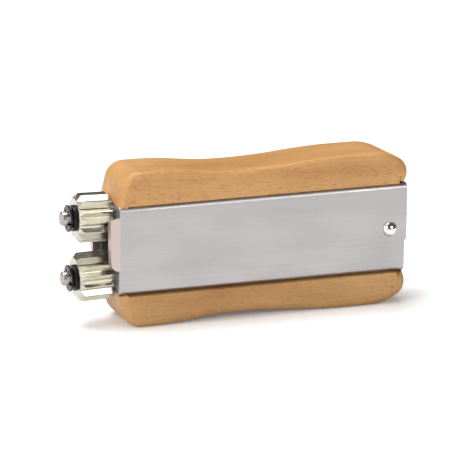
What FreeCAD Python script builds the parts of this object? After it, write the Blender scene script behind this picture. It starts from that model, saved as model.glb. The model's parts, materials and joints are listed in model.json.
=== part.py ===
import FreeCAD, Part
import math
import os
import Sketcher

# Hand crimper for the wire of hive frames, standing on its lower handle.
#
# Two folded steel channels nest open side to open side and swing on a cross pin near the rear. A
# beech handle is screwed to each web. At the front each channel holds a stub axle, and a toothed
# wheel runs on it. Squeezing the handles brings the wheels into mesh over the wire.
#
# World axes: X along the tool with the wheels at -X and the pin at +X, Z up, millimetres. The origin
# is under the middle of the tool, on the surface it stands on.
#
# Each piece is drawn in the frame of its half: the origin is on the hinge axis, -X is the front, and
# -Z is the web and the handle. The upper half is the same frame turned over about X. Pieces on a stub
# axle are drawn in the frame of that axle, with the origin in the middle of the wheel.

Vector = FreeCAD.Vector
Rotation = FreeCAD.Rotation
Placement = FreeCAD.Placement

SIZES = [
    ("channel_length", 130.0, "length of both channels"),
    ("channel_width", 30.0, "outside width of the upper channel"),
    ("gauge", 1.5, "thickness of the folded steel"),
    ("bend_radius", 2.5, "outside radius of the folds"),
    ("nest_gap", 0.2, "gap between a lower flange and an upper one"),
    ("corner_radius", 1.5, "rounding of the free corners of the flanges"),
    ("pin_setback", 8.0, "hinge axis from the rear end of the channels"),
    ("web_drop", 19.9, "hinge axis to the outer face of each web"),
    ("upper_flange", 27.0, "depth of the upper flanges at the front"),
    ("flange_taper", 1.6, "how much less they are deep at the rear"),
    ("lower_flange", 24.4, "depth of the lower flanges"),
    ("ear_front", 1.5, "hinge axis to the front edge of the stop ears"),
    ("ear_slope", 4.5, "run and rise of the slope up to a stop ear"),
    ("stop_gap", 0.05, "free play between a stop ear and the upper web"),
    ("rest_angle", 0.57, "angle between the webs when open, in degrees"),
    ("close_angle", 2.5, "travel from open to shut, in degrees"),
    ("tab_reach", 4.0, "front tabs beyond the front of the web"),
    ("tab_drop", 4.4, "outer face of the web to the top of a tab"),
    ("tab_slope", 1.0, "fall of the top edge of a tab"),
    ("tab_radius", 3.5, "rounding of the lower corner of a tab"),
    ("lip_depth", 3.8, "inward lip on the front of a tab, with the steel"),
    ("handle_inset", 0.25, "side of a channel to the side of its handle"),
    ("handle_hump", 14.1, "height of a handle at its two humps"),
    ("handle_waist", 11.5, "height of a handle at its waist"),
    ("waist_at", 53.0, "front of a handle to its waist"),
    ("nose_reach", 9.8, "front of a handle to the front land"),
    ("nose_radius", 8.2, "rounding of the nose of a handle"),
    ("front_land", 4.2, "length of the flat on the front hump"),
    ("tail_reach", 15.9, "rear land to the rear end of a handle"),
    ("tail_radius", 7.0, "rounding of the rear end of a handle"),
    ("tail_height", 4.5, "web to the centre of that rounding"),
    ("tail_tuck", 20.0, "how far that rounding turns under, in degrees"),
    ("rear_land", 8.0, "length of the flat on the rear hump"),
    ("tail_overhang", 0.9, "handle beyond the rear end of the channels"),
    ("handle_round", 3.6, "rounding along the handles"),
    ("screw_radius", 2.0, "shank of a handle screw"),
    ("screw_head_radius", 4.0, "head of a handle screw"),
    ("screw_head_height", 2.2, "height of that head"),
    ("screw_depth", 8.0, "how far a screw goes into the wood"),
    ("screw_from_front", 24.0, "front of the channels to the front screw"),
    ("screw_spacing", 82.0, "front screw to rear screw"),
    ("snug_gap", 0.03, "radial gap of pieces that do not move"),
    ("running_gap", 0.05, "radial gap of pieces that turn"),
    ("end_float", 0.1, "gap along an axis between pieces that turn"),
    ("pin_radius", 2.25, "shank of the hinge pin"),
    ("pin_head_radius", 3.3, "heads of the hinge pin"),
    ("pin_head_height", 2.3, "height of those heads"),
    ("pin_head_edge", 0.9, "straight edge of those heads"),
    ("pin_head_top", 1.9, "radius of the top of those heads"),
    ("spacer_wall", 1.6, "wall of the spacer tube on the hinge pin"),
    ("axle_radius", 3.0, "stub axles"),
    ("axle_inset", 6.6, "outer face of the web to the axle"),
    ("axle_seat", 14.0, "how far an axle goes into its block"),
    ("axle_stub", 2.9, "front of the clip to the front end of the axle"),
    ("block_length", 16.0, "axle blocks along X"),
    ("block_height", 12.0, "axle blocks from the web"),
    ("block_side_gap", 0.3, "gap between a block and each lower flange"),
    ("block_inset", 0.3, "front of the channels to the front of a block"),
    ("boss_radius", 5.0, "boss on the front of a block, behind the wheel"),
    ("wheel_setback", 1.3, "front of the channels to the rear of a wheel"),
    ("wheel_width", 14.0, "length of a toothed wheel"),
    ("wheel_teeth", 14, "number of teeth"),
    ("tip_radius", 10.4, "radius over the teeth"),
    ("tooth_depth", 2.0, "depth of the teeth"),
    ("tip_flat", 0.5, "width of the land on a tooth"),
    ("root_flat", 0.5, "width of the bottom of a tooth space"),
    ("wheel_chamfer", 2.0, "chamfer on the front of a wheel"),
    ("washer_radius", 5.5, "washers in front of a wheel"),
    ("washer_thickness", 1.0, "thickness of each of those washers"),
    ("washer_count", 2, "washers in front of each wheel"),
    ("clip_radius", 5.65, "E-clip"),
    ("clip_thickness", 0.7, "thickness of the E-clip"),
    ("clip_groove", 0.5, "depth of the groove in the axle"),
    ("clip_mouth", 4.4, "width of the mouth of the E-clip"),
    ("clip_notch", 1.8, "width of the two notches of the E-clip"),
    ("clip_reach", 3.8, "axis to the end of a notch"),
    ("spring_setback", 60.0, "hinge axis to the axis of the spring"),
    ("spring_radius", 6.0, "mean radius of the spring"),
    ("spring_wire", 0.8, "half the thickness of the spring wire"),
    ("spring_turns", 5, "turns of the spring"),
    ("spring_sides", 12, "straight pieces in each turn"),
    ("stud_gap", 0.4, "radial gap between a stud and the spring"),
    ("stud_height", 5.0, "height of the stud inside each end of the spring"),
    ("overcut", 1.0, "how far a cut runs on past the stock"),
]

DERIVED = [
    ("lower_width", "channel_width - 2 * gauge - 2 * nest_gap"),
    ("front_at", "pin_setback - channel_length"),
    ("handle_width", "channel_width - 2 * handle_inset"),
    ("block_width", "lower_width - 2 * gauge - 2 * block_side_gap"),
    ("boss_length", "wheel_setback + 2 * block_inset"),
    ("web_inside", "gauge - web_drop"),
    ("ear_top", "web_drop - gauge - stop_gap"),
    ("axle_lean", "(rest_angle + close_angle) / 2"),
    ("wheel_at", "front_at - wheel_setback - wheel_width / 2"),
    ("axle_at", "axle_inset - web_drop"),
    ("root_radius", "tip_radius - tooth_depth"),
    ("space_half", "tip_radius * sin(180 deg / wheel_teeth) - tip_flat / 2"),
    ("groove_radius", "axle_radius - clip_groove"),
    ("washers_at", "0 - wheel_width / 2 - end_float"),
    ("clip_at", "washers_at - washer_count * (washer_thickness + end_float) - clip_thickness"),
    ("axle_tip", "clip_at - axle_stub"),
    ("axle_tail", "wheel_width / 2 + wheel_setback + block_inset + axle_seat"),
    ("spring_space", "2 * web_drop - 2 * gauge - spring_setback * sin(rest_angle * 1 deg)"),
    ("hinge_height", "handle_hump + web_drop"),
    ("hinge_at", "(channel_length - pin_setback + wheel_setback + wheel_width / 2 - axle_tip"
                 " - pin_setback - tail_overhang) / 2"),
]

doc = FreeCAD.newDocument("WireCrimper")
sizes = doc.addObject("Spreadsheet::Sheet", "Sizes")


def fill_sheet():
    """Write the driving sizes as plain numbers and the derived ones as formulas, each with an alias."""
    row = 1
    for alias, value, note in SIZES:
        sizes.set("A%d" % row, note)
        sizes.set("B%d" % row, str(value))
        sizes.setAlias("B%d" % row, alias)
        row += 1
    for alias, formula in DERIVED:
        sizes.set("B%d" % row, "=" + formula)
        sizes.setAlias("B%d" % row, alias)
        doc.recompute()
        row += 1


def value(alias):
    """Current value of a size."""
    cell = sizes.get(alias)
    return float(getattr(cell, "Value", cell))


def bound(formula):
    """The formula with each alias written as a reference to the sheet."""
    words = formula.replace("(", " ( ").replace(")", " ) ").split()
    known = {alias for alias, _, _ in SIZES} | {alias for alias, _ in DERIVED}
    return " ".join("Sizes." + word if word in known else word for word in words)


def bind(item, prop, formula):
    """Tie one property of an object to sizes."""
    item.setExpression(prop, bound(formula))


# ---- sketches and features -------------------------------------------------------------------------

def new_body(label):
    return doc.addObject("PartDesign::Body", label)


def plane(body, role):
    """One of the body's own origin planes or axes."""
    return next(item for item in body.Origin.OriginFeatures if item.Role == role)


def sketch_on(body, role, offset="0"):
    """A sketch on an origin plane of the body, moved along the plane's normal."""
    sketch = body.newObject("Sketcher::SketchObject", body.Name + "_sketch")
    sketch.AttachmentSupport = [(plane(body, role), "")]
    sketch.MapMode = "FlatFace"
    bind(sketch, "AttachmentOffset.Base.z", offset)
    return sketch


def outline(sketch, corners):
    """A closed outline of straight lines, each corner held by two dimensions."""
    doc.recompute()
    first = sketch.GeometryCount
    count = len(corners)
    spread = [Vector(math.cos(2 * math.pi * n / count), math.sin(2 * math.pi * n / count), 0)
              for n in range(count)]
    for number in range(count):
        sketch.addGeometry(Part.LineSegment(spread[number], spread[(number + 1) % count]), False)
    for number in range(count):
        following = first + (number + 1) % count
        sketch.addConstraint(Sketcher.Constraint("Coincident", first + number, 2, following, 1))
    for number, (across, up) in enumerate(corners):
        for kind, formula in (("DistanceX", across), ("DistanceY", up)):
            place = spread[number].x if kind == "DistanceX" else spread[number].y
            index = sketch.addConstraint(Sketcher.Constraint(kind, -1, 1, first + number, 1, place))
            sketch.setExpression("Constraints[%d]" % index, bound(formula))


def circle(sketch, across, up, radius):
    """A circle held by its centre and its radius."""
    number = sketch.addGeometry(Part.Circle(Vector(1, 1, 0), Vector(0, 0, 1), 1), False)
    for kind, formula in (("DistanceX", across), ("DistanceY", up)):
        index = sketch.addConstraint(Sketcher.Constraint(kind, -1, 1, number, 3, 1.0))
        sketch.setExpression("Constraints[%d]" % index, bound(formula))
    index = sketch.addConstraint(Sketcher.Constraint("Radius", number, 1.0))
    sketch.setExpression("Constraints[%d]" % index, bound(radius))


def grow(body, sketch, length, centred=False):
    """Pad the sketch along its normal, or to both sides of its plane."""
    pad = body.newObject("PartDesign::Pad", body.Name + "_pad")
    pad.Profile = sketch
    bind(pad, "Length", length)
    pad.Midplane = centred
    doc.recompute()
    return pad


def cut(body, sketch, length=None, forward=False):
    """Pocket the sketch: right through to both sides, or one way, and make sure that it cuts."""
    before = body.Shape.Volume
    pocket = body.newObject("PartDesign::Pocket", body.Name + "_pocket")
    pocket.Profile = sketch
    if length is None:
        pocket.Type = 1
        pocket.Midplane = True
    else:
        pocket.Type = 0
        pocket.Reversed = forward
        bind(pocket, "Length", length)
    doc.recompute()
    if not body.Shape.Volume < before:
        raise RuntimeError(pocket.Name + " cuts nothing")
    return pocket


def turn(body, sketch, axis="H_Axis"):
    """Revolve the sketch a full turn about one of its axes."""
    solid = body.newObject("PartDesign::Revolution", body.Name + "_turn")
    solid.Profile = sketch
    solid.ReferenceAxis = (sketch, [axis])
    solid.Angle = 360.0
    doc.recompute()
    return solid


def round_edges(body, radius, wanted):
    """Fillet the edges that the test picks."""
    base = body.Tip
    names = ["Edge%d" % (number + 1) for number, edge in enumerate(base.Shape.Edges) if wanted(edge)]
    if not names:
        raise RuntimeError(body.Name + " has no such edge to round")
    fillet = body.newObject("PartDesign::Fillet", body.Name + "_fillet")
    fillet.Base = (base, names)
    bind(fillet, "Radius", radius)
    doc.recompute()
    return fillet


def near(first, second):
    return abs(first - second) < 1e-4


def runs_along(edge, axis):
    """Whether an edge is straight and parallel to an axis of the drawing."""
    start, end = edge.Vertexes[0].Point, edge.Vertexes[-1].Point
    return all(near(getattr(start, other), getattr(end, other)) for other in "xyz" if other != axis)


# ---- frames of the halves and of the stub axles ----------------------------------------------------

HALVES = ("lower", "upper")


def half_frame(half):
    """Place of a half: the upper one is turned over and dips to the front by the rest angle."""
    turned = Rotation()
    if half == "upper":
        turned = Rotation(Vector(0, 1, 0), -value("rest_angle")).multiply(Rotation(Vector(1, 0, 0), 180))
    return Placement(Vector(value("hinge_at"), 0, value("hinge_height")), turned)


def axle_frame(half):
    """Place of a stub axle: it leans so that both are parallel when the tool is shut."""
    lean = Rotation(Vector(0, 1, 0), -value("axle_lean"))
    return half_frame(half).multiply(Placement(Vector(value("wheel_at"), 0, value("axle_at")), lean))


# ---- channels --------------------------------------------------------------------------------------

def web_holes(body):
    """Holes in the web for the handle screws."""
    sketch = sketch_on(body, "XY_Plane")
    for number in range(2):
        circle(sketch, "front_at + screw_from_front + %d * screw_spacing" % number, "0",
               "screw_radius + snug_gap")
    cut(body, sketch)


def fold(body, width):
    """Round the two long folds of a channel, outside and inside."""
    half = width / 2
    base = -value("web_drop")
    gauge = value("gauge")

    def long_edge(edge, side, height):
        start = edge.Vertexes[0].Point
        return runs_along(edge, "x") and near(abs(start.y), side) and near(start.z, height)

    round_edges(body, "bend_radius", lambda edge: long_edge(edge, half, base))
    round_edges(body, "bend_radius - gauge", lambda edge: long_edge(edge, half - gauge, base + gauge))


def lower_channel():
    """Inner channel, with a pair of ears behind the pin that stop the opening."""
    body = new_body("lower_channel")
    sketch = sketch_on(body, "YZ_Plane", "front_at")
    outline(sketch, [("0 - lower_width / 2", "0 - web_drop"), ("lower_width / 2", "0 - web_drop"),
                     ("lower_width / 2", "ear_top"), ("0 - lower_width / 2", "ear_top")])
    grow(body, sketch, "channel_length")
    sketch = sketch_on(body, "YZ_Plane")
    outline(sketch, [("gauge - lower_width / 2", "web_inside"), ("lower_width / 2 - gauge", "web_inside"),
                     ("lower_width / 2 - gauge", "ear_top + overcut"),
                     ("gauge - lower_width / 2", "ear_top + overcut")])
    cut(body, sketch)
    fold(body, value("lower_width"))
    sketch = sketch_on(body, "XZ_Plane")
    top = "lower_flange - web_drop"
    outline(sketch, [("front_at - overcut", top), ("ear_front - ear_slope", top),
                     ("ear_front", top + " + ear_slope"), ("ear_front", "ear_top + overcut"),
                     ("front_at - overcut", "ear_top + overcut")])
    cut(body, sketch)
    sketch = sketch_on(body, "XZ_Plane")
    circle(sketch, "0", "0", "pin_radius + running_gap")
    cut(body, sketch)
    web_holes(body)
    rounded = value("lower_flange") - value("web_drop")
    front = value("front_at")
    ear_top = value("ear_top")
    side = value("lower_width") / 2
    round_edges(body, "corner_radius", lambda edge: runs_along(edge, "y")
                and near(edge.Vertexes[0].Point.x, front) and near(edge.Vertexes[0].Point.z, rounded))
    round_edges(body, "bend_radius - gauge", lambda edge: runs_along(edge, "x")
                and near(abs(edge.Vertexes[0].Point.y), side) and near(edge.Vertexes[0].Point.z, ear_top))
    return body


def upper_channel():
    """Outer channel. Its flanges run on in front of the web as two tabs with an inward lip."""
    body = new_body("upper_channel")
    edge_at = "upper_flange - web_drop"
    past_edge = edge_at + " + overcut"
    sketch = sketch_on(body, "YZ_Plane", "front_at - tab_reach")
    outline(sketch, [("0 - channel_width / 2", "0 - web_drop"), ("channel_width / 2", "0 - web_drop"),
                     ("channel_width / 2", edge_at), ("0 - channel_width / 2", edge_at)])
    grow(body, sketch, "channel_length + tab_reach")
    sketch = sketch_on(body, "YZ_Plane", "front_at - tab_reach + gauge")
    inside = "channel_width / 2 - gauge"
    outline(sketch, [("0 - (" + inside + ")", "web_inside"), (inside, "web_inside"),
                     (inside, past_edge), ("0 - (" + inside + ")", past_edge)])
    cut(body, sketch, "channel_length + tab_reach", forward=True)
    sketch = sketch_on(body, "YZ_Plane")
    opening = "channel_width / 2 - lip_depth"
    outline(sketch, [("0 - (" + opening + ")", "web_inside"), (opening, "web_inside"),
                     (opening, past_edge), ("0 - (" + opening + ")", past_edge)])
    cut(body, sketch)
    fold(body, value("channel_width"))
    sketch = sketch_on(body, "XZ_Plane")
    outline(sketch, [("front_at - tab_reach - overcut", "0 - web_drop - overcut"),
                     ("front_at", "0 - web_drop - overcut"), ("front_at", "tab_drop - web_drop"),
                     ("front_at - tab_reach - overcut", "tab_drop + tab_slope - web_drop")])
    cut(body, sketch)
    sketch = sketch_on(body, "XZ_Plane")
    outline(sketch, [("front_at", edge_at), ("pin_setback + overcut", edge_at + " - flange_taper"),
                     ("pin_setback + overcut", past_edge), ("front_at", past_edge)])
    cut(body, sketch)
    sketch = sketch_on(body, "XZ_Plane")
    circle(sketch, "0", "0", "pin_radius + snug_gap")
    cut(body, sketch)
    web_holes(body)
    rear = value("pin_setback")
    tab_front = value("front_at") - value("tab_reach")
    round_edges(body, "tab_radius", lambda edge: runs_along(edge, "y")
                and near(edge.Vertexes[0].Point.x, tab_front) and edge.Vertexes[0].Point.z > 0)
    round_edges(body, "corner_radius", lambda edge: runs_along(edge, "y")
                and near(edge.Vertexes[0].Point.x, rear) and edge.Vertexes[0].Point.z > 0)
    return body


# ---- handles and their screws ----------------------------------------------------------------------

def handle_side():
    """Side outline of a handle, in lines and arcs that run into each other without a corner.

    From the front: a leaning face, the nose arc, the flat front hump, an S of two equal arcs down to
    the waist and another one up to the flat rear hump, two arcs round the tail, and a tucked-in foot.
    """
    hump = value("handle_hump")
    waist = value("handle_waist")
    nose = value("nose_radius")
    tail = value("tail_radius")
    front_hump = value("nose_reach")
    front_land = front_hump + value("front_land")
    middle = value("waist_at")
    rear = value("channel_length") + value("tail_overhang")
    rear_hump = rear - value("tail_reach")
    rear_land = rear_hump - value("rear_land")
    tuck = math.radians(value("tail_tuck"))

    def at(along, height):
        return Vector(value("front_at") + along, -value("web_drop") - height, 0)

    def line(start, end):
        return Part.LineSegment(at(*start), at(*end))

    def arc(centre, radius, first, last):
        """Arc about a centre, between two angles counted from the rear towards the crown."""
        return Part.Arc(*[at(centre[0] + radius * math.cos(angle), centre[1] + radius * math.sin(angle))
                          for angle in (first, (first + last) / 2, last)])

    def slope(start, end):
        """Two equal arcs, level at both ends, between a hump and the waist."""
        run = end[0] - start[0]
        fall = abs(start[1] - end[1])
        radius = (run ** 2 + fall ** 2) / (4 * fall)
        sweep = math.asin(run / 2 / radius)
        up = math.pi / 2
        if start[1] > end[1]:
            return [arc((start[0], start[1] - radius), radius, up, up - sweep),
                    arc((end[0], end[1] + radius), radius, -up - sweep, -up)]
        return [arc((start[0], start[1] + radius), radius, -up, sweep - up),
                arc((end[0], end[1] - radius), radius, up + sweep, up)]

    centre = (front_hump, hump - nose)
    reach = math.hypot(*centre)
    lean = math.atan2(centre[1], centre[0]) + math.asin(nose / reach)
    flank = math.sqrt(reach ** 2 - nose ** 2)
    touch = (flank * math.cos(lean), flank * math.sin(lean))

    inner = (rear - tail, value("tail_height"))
    ahead = inner[0] - rear_hump
    below = hump - inner[1]
    crown = (ahead ** 2 + below ** 2 - tail ** 2) / (2 * (below - tail))
    meet = math.atan2(inner[1] - hump + crown, ahead)
    end = (inner[0] + tail * math.cos(tuck), inner[1] - tail * math.sin(tuck))
    foot = (end[0] - end[1] * math.tan(tuck), 0)

    return [
        line(foot, (0, 0)),
        line((0, 0), touch),
        arc(centre, nose, lean + math.pi / 2, math.pi / 2),
        line((front_hump, hump), (front_land, hump)),
        *slope((front_land, hump), (middle, waist)),
        *slope((middle, waist), (rear_land, hump)),
        line((rear_land, hump), (rear_hump, hump)),
        arc((rear_hump, hump - crown), crown, math.pi / 2, meet),
        arc(inner, tail, meet, -tuck),
        line(end, foot),
    ]


def handle(half):
    """Turned-up beech handle with a pilot hole for each screw."""
    body = new_body(half + "_handle")
    sketch = sketch_on(body, "XZ_Plane")
    sketch.addGeometry(handle_side(), False)
    grow(body, sketch, "handle_width", centred=True)
    side = value("handle_width") / 2
    base = -value("web_drop")

    def outer_arris(edge):
        points = [vertex.Point for vertex in edge.Vertexes]
        on_side = all(near(abs(point.y), side) for point in points)
        return on_side and not runs_along(edge, "y") and any(not near(point.z, base) for point in points)

    round_edges(body, "handle_round", outer_arris)
    sketch = sketch_on(body, "XY_Plane", "0 - web_drop")
    for number in range(2):
        circle(sketch, "front_at + screw_from_front + %d * screw_spacing" % number, "0",
               "screw_radius + snug_gap")
    cut(body, sketch, "screw_depth + snug_gap")
    return body


def group(label, members):
    """Several separate solids in one node."""
    together = doc.addObject("Part::Compound", label)
    together.Links = members
    return together


def cylinder(name, radius, length, centre, frame=Placement()):
    """A cylinder along Z that starts at the centre given."""
    rod = doc.addObject("Part::Cylinder", name)
    bind(rod, "Radius", radius)
    bind(rod, "Height", length)
    rod.Placement = frame.multiply(Placement(centre, Rotation()))
    return rod


def handle_screws(half):
    """Two wood screws, from inside the channel through the web into the handle."""
    screws = []
    for number in range(2):
        along = value("front_at") + value("screw_from_front") + number * value("screw_spacing")
        name = "%s_screw_%d" % (half, number)
        shank = cylinder(name + "_shank", "screw_radius", "screw_depth + gauge",
                         Vector(along, 0, -value("web_drop") - value("screw_depth")))
        head = cylinder(name + "_head", "screw_head_radius", "screw_head_height",
                        Vector(along, 0, value("web_inside")))
        screw = doc.addObject("Part::Fuse", name)
        screw.Base = shank
        screw.Tool = head
        screws.append(screw)
    return group(half + "_handle_screws", screws)


# ---- axle blocks -----------------------------------------------------------------------------------

def across_axle(body, behind):
    """A sketch square to the leaning axle, at a distance behind the middle of the wheel."""
    sketch = body.newObject("Sketcher::SketchObject", body.Name + "_sketch")
    sketch.AttachmentSupport = [(plane(body, "YZ_Plane"), "")]
    sketch.MapMode = "FlatFace"
    lean = Rotation(Vector(1, 0, 0), -value("axle_lean"))
    middle = Placement(Vector(0, value("axle_at"), value("wheel_at")), lean)
    sketch.AttachmentOffset = middle.multiply(Placement(Vector(0, 0, behind), Rotation()))
    return sketch


def axle_block(half):
    """Steel block welded inside the web, with the leaning bore that holds the stub axle.

    A boss on its front keeps the wheel clear of the channel.
    """
    body = new_body(half + "_axle_block")
    sketch = sketch_on(body, "XY_Plane", "web_inside")
    start = "front_at + block_inset"
    outline(sketch, [(start, "0 - block_width / 2"), (start + " + block_length", "0 - block_width / 2"),
                     (start + " + block_length", "block_width / 2"), (start, "block_width / 2")])
    grow(body, sketch, "block_height")
    web = value("web_inside")
    round_edges(body, "bend_radius - gauge + snug_gap", lambda edge: runs_along(edge, "x")
                and near(edge.Vertexes[0].Point.z, web))
    sketch = across_axle(body, value("wheel_width") / 2 + value("end_float"))
    circle(sketch, "0", "0", "boss_radius")
    grow(body, sketch, "boss_length")
    sketch = across_axle(body, 0)
    circle(sketch, "0", "0", "axle_radius + snug_gap")
    cut(body, sketch)
    return body


# ---- what sits on a stub axle ----------------------------------------------------------------------

def axle(half):
    """Stub axle with a groove for the clip."""
    body = new_body(half + "_axle")
    sketch = sketch_on(body, "XZ_Plane")
    groove_front = "clip_at - end_float / 2"
    groove_rear = "clip_at + clip_thickness + end_float / 2"
    outline(sketch, [("axle_tip", "0"), ("axle_tail", "0"), ("axle_tail", "axle_radius"),
                     (groove_rear, "axle_radius"), (groove_rear, "groove_radius"),
                     (groove_front, "groove_radius"), (groove_front, "axle_radius"),
                     ("axle_tip", "axle_radius")])
    turn(body, sketch)
    return body


def crimping_wheel(half):
    """Wheel with straight V-shaped teeth, each with a flat chamfer at the front down to its root.

    The lower wheel has a tooth towards the other half and the upper one has a space there, so that
    they mesh when the tool is shut.
    """
    body = new_body(half + "_crimping_wheel")
    half_pitch = 180.0 / value("wheel_teeth")

    def all_round(feature, name):
        pattern = body.newObject("PartDesign::PolarPattern", body.Name + name)
        pattern.Originals = [feature]
        pattern.Axis = (plane(body, "X_Axis"), [""])
        pattern.Angle = 360.0
        bind(pattern, "Occurrences", "wheel_teeth")
        body.Tip = pattern
        doc.recompute()

    sketch = sketch_on(body, "YZ_Plane", "0 - wheel_width / 2")
    circle(sketch, "0", "0", "tip_radius")
    grow(body, sketch, "wheel_width")
    sketch = sketch_on(body, "XZ_Plane")
    outline(sketch, [("0 - wheel_width / 2 - overcut", "tip_radius - wheel_chamfer - overcut"),
                     ("0 - wheel_width / 2 + wheel_chamfer + overcut", "tip_radius + overcut"),
                     ("0 - wheel_width / 2 - overcut", "tip_radius + overcut")])
    all_round(cut(body, sketch), "_chamfers")
    sketch = sketch_on(body, "YZ_Plane")
    sketch.AttachmentOffset = Placement(Vector(), Rotation(Vector(0, 0, 1), half_pitch))
    flare = "space_half + overcut * (space_half - root_flat / 2) / tooth_depth"
    outline(sketch, [("0 - root_flat / 2", "root_radius"), ("root_flat / 2", "root_radius"),
                     (flare, "tip_radius + overcut"), ("0 - (" + flare + ")", "tip_radius + overcut")])
    all_round(cut(body, sketch), "_teeth")
    sketch = sketch_on(body, "YZ_Plane")
    circle(sketch, "0", "0", "axle_radius + running_gap")
    cut(body, sketch)
    phase = half_pitch if half == "upper" else 0.0
    return body, Placement(Vector(), Rotation(Vector(1, 0, 0), phase))


def ring(name, radius, bore, thickness, start):
    """A flat ring about the axle, from the place given towards the rear."""
    body = new_body(name)
    sketch = sketch_on(body, "YZ_Plane", start)
    circle(sketch, "0", "0", radius)
    circle(sketch, "0", "0", bore)
    grow(body, sketch, thickness)
    return body


def washers(half):
    """Plain washers between a wheel and its clip."""
    rings = [ring("%s_washer_%d" % (half, number), "washer_radius", "axle_radius + end_float",
                  "washer_thickness", "washers_at - washer_thickness - %d * (washer_thickness + end_float)"
                  % number) for number in range(int(value("washer_count")))]
    return group(half + "_washers", rings)


def e_clip(half):
    """E-clip in its groove, with the mouth to the far side of the tool."""
    body = new_body(half + "_e_clip")
    sketch = sketch_on(body, "YZ_Plane", "clip_at")
    circle(sketch, "0", "0", "clip_radius")
    grow(body, sketch, "clip_thickness")
    sketch = sketch_on(body, "YZ_Plane")
    circle(sketch, "0", "0", "groove_radius + snug_gap")
    cut(body, sketch)
    away = 1 if half == "lower" else -1
    sketch = sketch_on(body, "YZ_Plane")
    mouth = "%d * (clip_radius + overcut)" % away
    outline(sketch, [("0", "0 - clip_mouth / 2"), (mouth, "0 - clip_mouth / 2"),
                     (mouth, "clip_mouth / 2"), ("0", "clip_mouth / 2")])
    cut(body, sketch)
    sketch = sketch_on(body, "YZ_Plane")
    notch = "%d * clip_notch" % -away
    outline(sketch, [("0", "0 - clip_reach"), (notch, "0 - clip_reach"), (notch, "clip_reach"),
                     ("0", "clip_reach")])
    cut(body, sketch)
    return body


# ---- hinge -----------------------------------------------------------------------------------------

def hinge_pin():
    """Pin with two raised heads against the flanges of the upper channel."""
    body = new_body("hinge_pin")
    sketch = sketch_on(body, "XY_Plane")
    end = "channel_width / 2 + snug_gap"
    half = [("pin_radius", end), ("pin_head_radius", end), ("pin_head_radius", end + " + pin_head_edge"),
            ("pin_head_top", end + " + pin_head_height"), ("0", end + " + pin_head_height")]
    outline(sketch, half + [(across, "0 - (" + along + ")") for across, along in reversed(half)])
    turn(body, sketch, "V_Axis")
    return body


def spacer_tube():
    """Tube on the pin that keeps the lower flanges apart."""
    tube = doc.addObject("Part::Cylinder", "hinge_spacer_outside")
    bore = doc.addObject("Part::Cylinder", "hinge_spacer_bore")
    bind(tube, "Radius", "pin_radius + running_gap + spacer_wall")
    bind(bore, "Radius", "pin_radius + running_gap")
    for rod in (tube, bore):
        bind(rod, "Height", "lower_width - 2 * gauge")
    spacer = doc.addObject("Part::Cut", "hinge_spacer")
    spacer.Base = tube
    spacer.Tool = bore
    return spacer


# ---- return spring ---------------------------------------------------------------------------------

def spring_stud(half):
    """Stud welded on the web, that holds one end of the spring."""
    return cylinder(half + "_spring_stud", "spring_radius - spring_wire - stud_gap", "stud_height",
                    Vector())


def return_spring():
    """Compression spring of square wire between the two webs, each turn in short straight pieces.

    A piece runs from one square section to the next. It has a flat side within and without, and two
    triangles each above and below, because the wire twists as it climbs.
    """
    sides = int(value("spring_sides"))
    wire = value("spring_wire")
    foot = value("web_inside") + value("snug_gap") + wire
    climb = value("spring_space") - 2 * value("snug_gap") - 2 * wire
    steps = int(value("spring_turns")) * sides
    inner = value("spring_radius") - wire
    outer = value("spring_radius") + wire

    def section(step):
        """Corners of the wire: inner low, outer low, outer high and inner high."""
        angle = 2 * math.pi * step / sides
        middle = foot + climb * step / steps
        return [Vector(radius * math.cos(angle), radius * math.sin(angle), middle + up)
                for radius, up in ((inner, -wire), (outer, -wire), (outer, wire), (inner, wire))]

    flats = [section(0), section(steps)]
    for step in range(steps):
        a, b, c, d = section(step)
        e, f, g, h = section(step + 1)
        flats += [[b, f, g, c], [a, d, h, e], [c, g, h], [c, h, d], [a, e, f], [a, f, b]]
    faces = [Part.Face(Part.makePolygon(flat + flat[:1])) for flat in flats]
    spring = doc.addObject("Part::Feature", "return_spring")
    spring.Shape = Part.makeSolid(Part.makeShell(faces))
    return spring


# ---- the whole tool --------------------------------------------------------------------------------

def build():
    """Make every piece, put it in its place and return the finished nodes."""
    fill_sheet()
    nodes = []

    def put(item, frame):
        item.Placement = frame
        nodes.append(item)

    spring_axis = Placement(Vector(-value("spring_setback"), 0, 0), Rotation())
    stud_place = spring_axis.multiply(Placement(Vector(0, 0, value("web_inside")), Rotation()))
    for half in HALVES:
        frame = half_frame(half)
        stub = axle_frame(half)
        put(lower_channel() if half == "lower" else upper_channel(), frame)
        for piece in (handle, handle_screws, axle_block):
            put(piece(half), frame)
        put(spring_stud(half), frame.multiply(stud_place))
        for piece in (axle, washers, e_clip):
            put(piece(half), stub)
        wheel, phase = crimping_wheel(half)
        put(wheel, stub.multiply(phase))
    put(hinge_pin(), half_frame("upper"))
    inside = value("lower_width") / 2 - value("gauge")
    across = Placement(Vector(0, inside, 0), Rotation(Vector(1, 0, 0), 90))
    put(spacer_tube(), half_frame("lower").multiply(across))
    put(return_spring(), half_frame("lower").multiply(spring_axis))
    doc.recompute()
    return nodes


def check(nodes):
    """Stop if anything in the document failed, or if a piece has no sound shape."""
    for item in doc.Objects:
        if "Invalid" in item.State or "Error" in item.State:
            raise RuntimeError(item.Name + " failed: " + str(item.State))
    for node in nodes:
        if node.Shape.isNull() or not node.Shape.isValid():
            raise RuntimeError(node.Label + " has no valid shape")


def export(nodes):
    """Write one STEP file for each node."""
    os.makedirs("parts", exist_ok=True)
    for node in nodes:
        node.Shape.exportStep(os.path.join("parts", node.Label + ".step"))


finished = build()
check(finished)
export(finished)
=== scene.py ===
import json
import math

import bmesh
import bpy
import numpy as np
from mathutils import Matrix, Vector


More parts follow.
